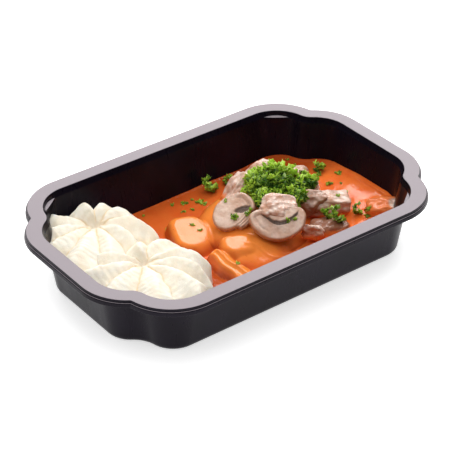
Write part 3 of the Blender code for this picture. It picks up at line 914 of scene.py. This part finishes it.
def build_meat():
    """Each piece with the node that it stands for."""
    made = []
    for name, stands_for, centre, size, turn, square, seed, knobs, wet_top, bias in MEAT:
        bm = bmesh.new()
        way = turned(*turn)
        lump(bm, centre, [s - 1.2 for s in size], way, square, 1.6, seed, 5)
        for k in range(knobs):
            off = Vector((cos(seed + 1.9 * k), sin(seed * 1.3 + 2.3 * k), 0.35 + 0.4 * sin(seed + k)))
            spot = Vector(centre) + way @ Vector([off[i] * size[i] * 0.30 for i in range(3)])
            lump(bm, spot, [s * 0.5 for s in size], way @ turned(40 * k), 0.5, 1.0, seed + k, 4)
        obj = remeshed(new_object(bm, name + "_piece"), MEAT_CELL, 2)

        def shape(point, normal, centre=centre, way=way, wet_top=wet_top, bias=bias):
            return torn(point, normal, centre, way, wet_top, bias)

        reshape(obj, shape, ("fibre", "brown_and_painted_shade", "wet"))
        if hypot(centre[0] / RIM_HALF_LENGTH, centre[1] / RIM_HALF_WIDTH) > NEAR_WALL:
            boolean(obj, cavity(), "INTERSECT")
        paint(obj, MATERIALS["meat"])
        made.append((obj, stands_for))
    return made


# The outline of each slice in its own plane, with the stalk towards +v
LEFT_OUTLINE = (
    (11.4, -6.8), (8.4, -9.6), (3.3, -11.8), (-4.1, -11.6), (-9.2, -9.4), (-12.6, -6.0), (-13.6, -1.2),
    (-12.5, 4.1), (-9.9, 7.0), (-7.0, 6.2), (-5.2, 7.6), (-3.4, 9.6), (0.5, 10.4), (4.9, 9.0), (5.4, 7.0),
    (8.7, 5.4), (12.0, 2.4), (13.0, -2.4),
)
FRONT_OUTLINE = (
    (-17.0, 0.9), (-16.6, 4.3), (-14.1, 6.6), (-10.3, 7.9), (-5.0, 8.4), (1.0, 8.6), (7.0, 8.2),
    (12.3, 8.4), (15.0, 5.6), (15.5, 2.3), (14.2, -3.0), (9.9, -7.7), (2.6, -10.9), (-4.1, -10.5),
    (-9.6, -8.4), (-14.4, -4.2),
)
# Size of the cells of a slice's skin
SLICE_CELL = 0.36


def smooth_loop(corners, steps=6):
    """A closed curve through the corners."""
    points = []
    count = len(corners)
    for i in range(count):
        a, b, c, d = (Vector(corners[(i + k - 1) % count]) for k in range(4))
        for j in range(steps):
            t = j / steps
            way = (c - a) * t + (2 * a - 5 * b + 4 * c - d) * t * t + (3 * b - a - 3 * c + d) * t**3
            points.append(b + way / 2)
    return points


def left_gill(u, v):
    """A short dark hollow beside the stalk."""
    along = -(u + 4.6) * 0.86 + (v - 1.9) * 0.5
    across = (u + 4.6) * 0.5 + (v - 1.9) * 0.86
    return ease((1.15 - hypot(along / 5.0, across / 1.9)) / 0.35)


def front_gill(u, v):
    """A long dark arc below the torn flesh, which fades out under it."""
    low = -2.9 + 0.066 * (u - 0.8) ** 2
    high = low + 2.9 - 0.01 * u * u
    arc = ease((v - low) / 0.8) * ease((high + 0.6 - v) / 0.8)
    fade = 0.42 * exp(-max(0.0, low + 0.8 - v) / 3.0) * ease((high + 0.6 - v) / 0.8)
    return max(arc, fade) * ease((11.0 - abs(u - 0.8)) / 1.5)


def build_slice(name, outline_points, gill_at, centre, normal, stalk, thick):
    """A slab cut through cap and stalk: rolled rim, dark gills, browned skin."""
    n = Vector(normal).normalized()
    down = Vector(stalk)
    down = (down - n * down.dot(n)).normalized()
    side = down.cross(n)
    shape = smooth_loop(outline_points)
    bm = bmesh.new()
    rings = []
    for depth, share in ((-0.5, 0.9), (-0.44, 0.95), (-0.25, 1.0), (0.2, 1.0), (0.4, 0.975), (0.5, 0.94)):
        rings.append([Vector((p.x * share, p.y * share, depth * thick)) for p in shape])
    sweep(bm, rings)
    made = new_object(bm, name)
    remeshed(made, SLICE_CELL, 4)
    origin = Vector(centre)
    edge = nearest_of([(p.x, p.y, 0) for p in shape])

    def carve(point, surface):
        u, v, w = point
        inward = edge.find((u, v, 0))[2]
        skin = 1 - ease((inward - 0.3) / 1.3)
        gill = gill_at(u + 0.5 * grain(point, 3, 2), v + 0.4 * grain(point, 2, 5))
        cut = sin(u * 7.5 + 2.0 * grain(point, 4, 2))
        stem = ease((v - 4.5) / 1.5) * ease((7 - abs(u + 0.5)) / 2)
        if surface.z > 0.3:
            w -= gill * gill * (1.2 + 0.15 * cut)
            roll = ease((-u - 4) / 6) * ease((v + 9) / 5)
            w += roll * (0.7 * bell(inward, 1.8, 1.2) - 0.5 * bell(inward, 3.8, 0.6))
            w += 0.35 * grain((u, v, 0), 5, thick) + 0.14 * grain((u, v, 0), 1.6, 3)
            w -= stem * (0.5 + 0.45 * sin(v * 4.2 + 1.5 * grain(point, 6, 1)))
        bow = 0.9 * sin(u * 0.16) + 0.7 * cos(v * 0.14)
        world = origin + side * u + down * v + n * (w + bow)
        tone = gill * (0.85 + 0.12 * cut) + stem * 0.25 * max(0.0, sin(v * 4.2))
        return world, min(1.0, tone), skin * (0.7 + 0.3 * grain(point, 3, 1))

    reshape(made, carve, ("gill", "skin"))
    paint(made, MATERIALS["mushroom"])
    return made


def build_back_mushroom():
    """The cap of a slice seen from behind the parsley."""
    bm = bmesh.new()
    lump(bm, (61, 14, 23), (18, 13, 9), turned(20), 0.2, 0.6, 31, 5)
    made = new_object(bm, "mushroom_back_piece")

    def wear(point, normal):
        skin = 0.75 + 0.3 * grain(point, 5, 2)
        return point + normal * 0.3 * grain(point, 3, 1), 0.0, max(0.0, skin)

    reshape(made, wear, ("gill", "skin"))
    paint(made, MATERIALS["mushroom"])
    return made


# Parsley


# The heap and three lesser ones on its edge: centre, size, turn, then how many bits of leaf and their seed
HEAP_CENTRE = (39, 9, 27)
HEAP_SIZE = (34, 32, 19)
HEAP_BITS = (460, 0.0)
HEAP_LOBES = (
    ((41, -9, 26.5), (14, 12, 8), -30, (80, 50.0)),
    ((54, -1, 26.5), (17, 11, 6), -20, (60, 90.0)),
    ((24.5, -1, 26.5), (11, 17, 9), -30, (80, 140.0)),
)
# Highest centre of a bit, the angle from one bit to the next, and the least room from a bit to the wall
HIGHEST_BIT = 34.6
GOLDEN_ANGLE = 137.508
WALL_CLEARANCE = 2.4

# Bits of leaf that lie about: place, then length
SCATTERED = (
    (7.3, 58.1, 6.1, 3.6), (5.3, 50.0, 6.1, 4.2), (-1.5, 53.2, 5.9, 3.0), (11.0, 50.6, 6.2, 2.6),
    (13.0, 45.2, 6.3, 4.8), (14.7, 41.5, 6.3, 3.4), (5.3, 41.7, 6.1, 2.8), (-0.5, 43.1, 5.9, 3.0),
    (-21.1, 54.3, 5.4, 2.6), (86.1, 44.8, 10.3, 4.6), (82.2, 47.1, 10.0, 2.8), (81.6, 39.9, 9.8, 2.6),
    (93.2, 12.2, 13.3, 4.4), (82.3, 8.1, 11.9, 4.4), (87.3, 3.0, 13.1, 2.6), (87.2, 23.6, 11.5, 7.0),
    (83.6, 20.8, 11.0, 4.6), (79.0, 30.2, 9.9, 5.2), (78.5, -31.5, 11.5, 4.6), (75.4, -25.6, 10.7, 6.0),
    (25.1, 50.9, 6.8, 9.0), (29.5, 52.6, 6.8, 5.0), (-11.8, 18.8, 14.4, 3.0), (-10.3, 13.1, 14.0, 3.0),
    (-13.7, -26.8, 12.9, 3.6), (14.0, -2.0, 23.3, 5.2), (5.7, 1.6, 20.5, 4.6), (7.6, 12.7, 25.4, 2.8),
    (24.5, -23.4, 24.4, 3.4), (28.0, -25.6, 23.6, 3.0), (69.4, -14.8, 20.0, 3.4), (54.2, -23.5, 15.9, 7.0),
    (55.6, -30.8, 16.3, 8.0), (62.6, 9.4, 25.6, 5.4), (-19.3, 33.9, 5.5, 2.0), (19.9, -24.0, 10.9, 3.4),
    (39.0, 51.3, 6.8, 6.0), (83.8, -6.0, 12.7, 3.0), (50.0, -36.0, 13.7, 3.4),
)


def leaf_pattern(kind):
    """A torn bit of curled leaf, one long, as its own mesh: lobed edge, hollowed lobes, thin."""
    bm = bmesh.new()
    edge = 18
    bmesh.ops.create_circle(bm, cap_ends=True, segments=edge, radius=0.5)
    bmesh.ops.inset_region(bm, faces=list(bm.faces), thickness=0.22)
    middle = [f for f in bm.faces if len(f.verts) > 4]
    bmesh.ops.poke(bm, faces=middle)
    lobes = 3 + kind % 3
    narrow = 0.42 + 0.12 * (kind % 3)
    for v in bm.verts:
        turn = atan2(v.co.y, v.co.x)
        away = v.co.length * 2
        lobe = 0.42 + 0.58 * abs(cos(lobes * turn / 2 + kind)) ** 0.8
        tooth = 0.16 * sin(turn * 9 + kind * 2.3)
        reach = away * (lobe + tooth * away) * 0.55
        lift = 0.10 * away * sin(turn * lobes + kind) + 0.16 * sin(3.3 * turn + kind) * away**2
        v.co = (reach * cos(turn) * 1.1, reach * sin(turn) * narrow * 1.6, lift)
    bmesh.ops.solidify(bm, geom=list(bm.faces), thickness=0.05)
    mesh = bpy.data.meshes.new("leaf")
    bm.to_mesh(mesh)
    bm.free()
    return mesh


def scatter(name, places):
    """One mesh of leaf bits, each laid at (point, up, span, turn, tone)."""
    patterns = [leaf_pattern(k) for k in range(7)]
    bm = bmesh.new()
    tone = bm.verts.layers.float.new("tone")
    for k, (point, up, span, turn, shade) in enumerate(places):
        begin = len(bm.verts)
        bm.from_mesh(patterns[k % len(patterns)])
        bm.verts.ensure_lookup_table()
        lay = up.to_track_quat("Z", "Y").to_matrix().to_4x4() @ Matrix.Rotation(turn, 4, "Z")
        bend = 0.5 + 0.5 * sin(k * 2.7)
        for v in bm.verts[begin:]:
            co = v.co.copy()
            co.z += bend * co.x * co.x * 0.9
            v.co = Vector(point) + lay @ (co * span)
            v.co.z = min(v.co.z, TRAY_HEIGHT - 0.1)
            # Painted light: the raised parts of each bit are lighter
            v[tone] = min(1.0, max(0.0, shade + 0.5 * co.z + 0.25 * grain(v.co, 2.0, k)))
    for mesh in patterns:
        bpy.data.meshes.remove(mesh)
    made = new_object(bm, name)
    paint(made, MATERIALS["parsley"])
    return made


def build_heap():
    """Chopped parsley piled up: a core painted dark as the shade inside the heap, and several hundred bits
    of leaf over it.
    """
    bm = bmesh.new()
    lump(bm, HEAP_CENTRE, [s - 10 for s in HEAP_SIZE], turned(-30), 0.1, 2.0, 17, 4)
    for centre, size, yaw, _ in HEAP_LOBES:
        lump(bm, centre, [s - 5.5 for s in size], turned(yaw), 0.1, 0.8, centre[0], 4)
    # Painted shade: the core takes the darkest tone, as the shade inside the heap
    tone = bm.verts.layers.float.new("tone")
    for v in bm.verts:
        v[tone] = 0.0
    core = new_object(bm, "parsley_core")
    paint(core, MATERIALS["parsley"])
    places = []
    for centre, size, _, (count, seed) in ((HEAP_CENTRE, HEAP_SIZE, -30, HEAP_BITS), *HEAP_LOBES):
        for k in range(count):
            rise = -0.25 + 1.23 * (k + 0.5) / count
            turn = radians(GOLDEN_ANGLE * k) + 0.3 * sin(k * 1.9)
            flat = sqrt(max(0.0, 1 - rise * rise))
            ray = Vector((flat * cos(turn), flat * sin(turn), rise))
            wander = Vector((sin(k * 3.7 + seed), cos(k * 2.3 + seed), sin(k * 1.3)))
            up = (ray * 0.7 + wander).normalized()
            depth = 0.66 + 0.3 * ((k * 0.618 + seed) % 1.0) ** 0.8
            depth += 0.28 * noise.noise(ray * 2.2 + Vector((seed, 0, 0))) + 0.10 * noise.noise(ray * 5.3)
            at = Vector(centre) + Vector([ray[i] * (size[i] / 2 - 0.6) * depth for i in range(3)])
            at.z = min(at.z, HIGHEST_BIT)
            span = 3.2 + 4.4 * ((k * 0.377) % 1.0) ** 1.4
            # Painted shade: bits deeper in the heap are darker, besides a random tone
            shade = 0.05 + 0.6 * ((k * 0.731) % 1.0) + 3.0 * (depth - 0.82)
            places.append((at, up, span, k * 1.7, shade))
    leaves = scatter("parsley_pile", places)
    return core, leaves


def ground_of(objects):
    """Finds the height of whatever lies under a point."""
    graph = bpy.context.evaluated_depsgraph_get()
    trees = [BVHTree.FromObject(obj, graph) for obj in objects]

    def find(x, y):
        best = None
        for tree in trees:
            hit = tree.ray_cast(Vector((x, y, 60)) * MM, Vector((0, 0, -1)))
            if hit[0] and (best is None or hit[0].z > best[0].z):
                best = hit
        return best

    return find


def build_scattered(objects):
    """Loose leaf laid on what it fell on, most of it as little clusters of bits."""
    find = ground_of(objects)
    wall = wall_near_sauce()
    places = []
    for k, (x, y, z, length) in enumerate(SCATTERED):
        tall = length >= 6
        bits = int(length * 2) if tall else max(2, int(length * 1.1))
        for j in range(bits):
            turn = 2.4 * j + k
            far = 0.0 if j == 0 else length * 0.3
            u, v = x + far * cos(turn), y + far * sin(turn)
            hit = find(u, v)
            # A bit that would land on another piece, or stand out through the wall, is left out
            if hit is None or abs(hit[0].z / MM - z) > 5 or wall.find((u, v, 0))[2] < WALL_CLEARANCE:
                continue
            wander = Vector((sin(j * 2.1 + k), cos(j * 1.7 + k), 0.2))
            up = (hit[1] + (1.2 if tall else 0.45) * wander).normalized()
            at = hit[0] / MM + hit[1] * 0.35
            if tall:
                at.z += length * 0.9 * ((j * 0.618) % 1.0)
            shade = 0.2 + 0.55 * ((k * 0.43 + j * 0.31) % 1.0)
            places.append((at, up, max(1.6, length * (0.66 - 0.02 * j)), turn * 1.3, shade))
    return scatter("parsley_bits", places)


# Put together


MATERIALS = {
    "mash": mash_surface(),
    "meat": meat_surface(),
    "mushroom": mushroom_surface(),
    "parsley": parsley_surface(),
}


def build():
    tray = build_tray()
    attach(tray, "root")
    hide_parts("tray")
    shown = []
    for rosette, name in enumerate(("mash_rosette_far", "mash_rosette_near")):
        piece = build_mash(rosette, name + "_piece")
        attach(piece, "root")
        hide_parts(name)
        shown.append(piece)
    stew = build_stew()
    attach(stew, "root")
    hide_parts("sauce", "coated_chunk_left", "coated_mound", "coated_chunk_front", "coated_strip")
    shown.append(stew)
    for piece, stands_for in build_meat():
        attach(piece, "root")
        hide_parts(stands_for)
        shown.append(piece)
    slices = (
        (
            "mushroom_slice_left", LEFT_OUTLINE, left_gill,
            (8.6, 4.6, 20.8), (-0.42, -0.36, 0.83), (0.22, -0.92, -0.3), 5,
        ),
        (
            "mushroom_slice_front", FRONT_OUTLINE, front_gill,
            (22, -18.5, 22), (-0.37, -0.49, 0.79), (0.48, 0.63, 0.6), 5,
        ),
    )
    for name, *rest in slices:
        piece = build_slice(name + "_piece", *rest)
        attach(piece, "root")
        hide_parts(name)
        shown.append(piece)
    back = build_back_mushroom()
    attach(back, "root")
    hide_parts("mushroom_back")
    shown.append(back)
    core, leaves = build_heap()
    for piece in (core, leaves):
        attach(piece, "root")
    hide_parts("parsley_heap")
    loose = build_scattered(shown)
    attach(loose, "root")


# Camera, floor and light


# The photo's camera, solved from the rim: angles in degrees, then millimetres
CAMERA_AZIMUTH, CAMERA_ELEVATION = -37.3025, 33.3808
CAMERA_DISTANCE = 977.14
CAMERA_ASIDE, CAMERA_ALOFT = -1.2515, -16.3253
CAMERA_LENS, CAMERA_SENSOR = 138.275, 36


def place_camera():
    azimuth, elevation = radians(CAMERA_AZIMUTH), radians(CAMERA_ELEVATION)
    back = Vector((sin(azimuth) * cos(elevation), -cos(azimuth) * cos(elevation), sin(elevation)))
    right = Vector((cos(azimuth), sin(azimuth), 0))
    up = back.cross(right)
    eye = bpy.data.cameras.new("camera")
    eye.lens = CAMERA_LENS
    eye.sensor_width = CAMERA_SENSOR
    camera = bpy.data.objects.new("camera", eye)
    turn = Matrix((right, up, back)).transposed().to_4x4()
    at = CAMERA_ASIDE * right + CAMERA_ALOFT * up + CAMERA_DISTANCE * back + Vector((0, 0, TRAY_HEIGHT))
    camera.matrix_world = Matrix.Translation(at * MM) @ turn
    eye.clip_start = 0.05
    bpy.context.scene.collection.objects.link(camera)
    bpy.context.scene.camera = camera


def place_floor():
    bm = bmesh.new()
    bmesh.ops.create_grid(bm, x_segments=1, y_segments=1, size=4)
    mesh = bpy.data.meshes.new("floor")
    bm.to_mesh(mesh)
    bm.free()
    floor = bpy.data.objects.new("floor", mesh)
    bpy.context.scene.collection.objects.link(floor)
    # White paper on a light table, so that almost no shadow shows on it
    made, tree, shader, place = start(
        "Matt white paper", Roughness=0.9, Specular_IOR_Level=0.1, Emission_Strength=0.6
    )
    colour = blend(tree, noise_at(tree, place, 60, 2), "FBFBFB", "FDFDFD")
    tree.links.new(colour, shader.inputs["Base Color"])
    mesh.materials.append(made)


def place_light(name, direction, far, size, power, mirrored):
    """A soft rectangle of light that faces the tray from this direction, this far away in metres."""
    lamp = bpy.data.lights.new(name, "AREA")
    lamp.shape = "RECTANGLE"
    lamp.size, lamp.size_y = size
    lamp.energy = power
    made = bpy.data.objects.new(name, lamp)
    way = Vector(direction).normalized()
    made.matrix_world = Matrix.Translation(way * far) @ way.to_track_quat("Z", "Y").to_matrix().to_4x4()
    made.visible_glossy = mirrored
    bpy.context.scene.collection.objects.link(made)


def place_world():
    world = bpy.data.worlds.new("studio")
    bpy.context.scene.world = world
    world.use_nodes = True
    background = world.node_tree.nodes["Background"]
    background.inputs["Color"].default_value = (1, 1, 1, 1)
    background.inputs["Strength"].default_value = 0.36
    world.cycles_visibility.glossy = False
    bpy.context.scene.view_settings.view_transform = "Standard"


build()
place_camera()
place_floor()
# The softbox gives the chunks their highlights, the fill shows in no gloss, the low light greys the rim
place_light("softbox", (0.492, 0.413, 0.80), 1.3, (0.66, 0.44), 6.4, True)
place_light("top_fill", (-0.05, 0.05, 0.95), 1.8, (2.4, 2.4), 27, False)
place_light("rim_light", (0.562, 0.737, 0.33), 1.3, (1.7, 0.42), 11.0, True)
place_world()
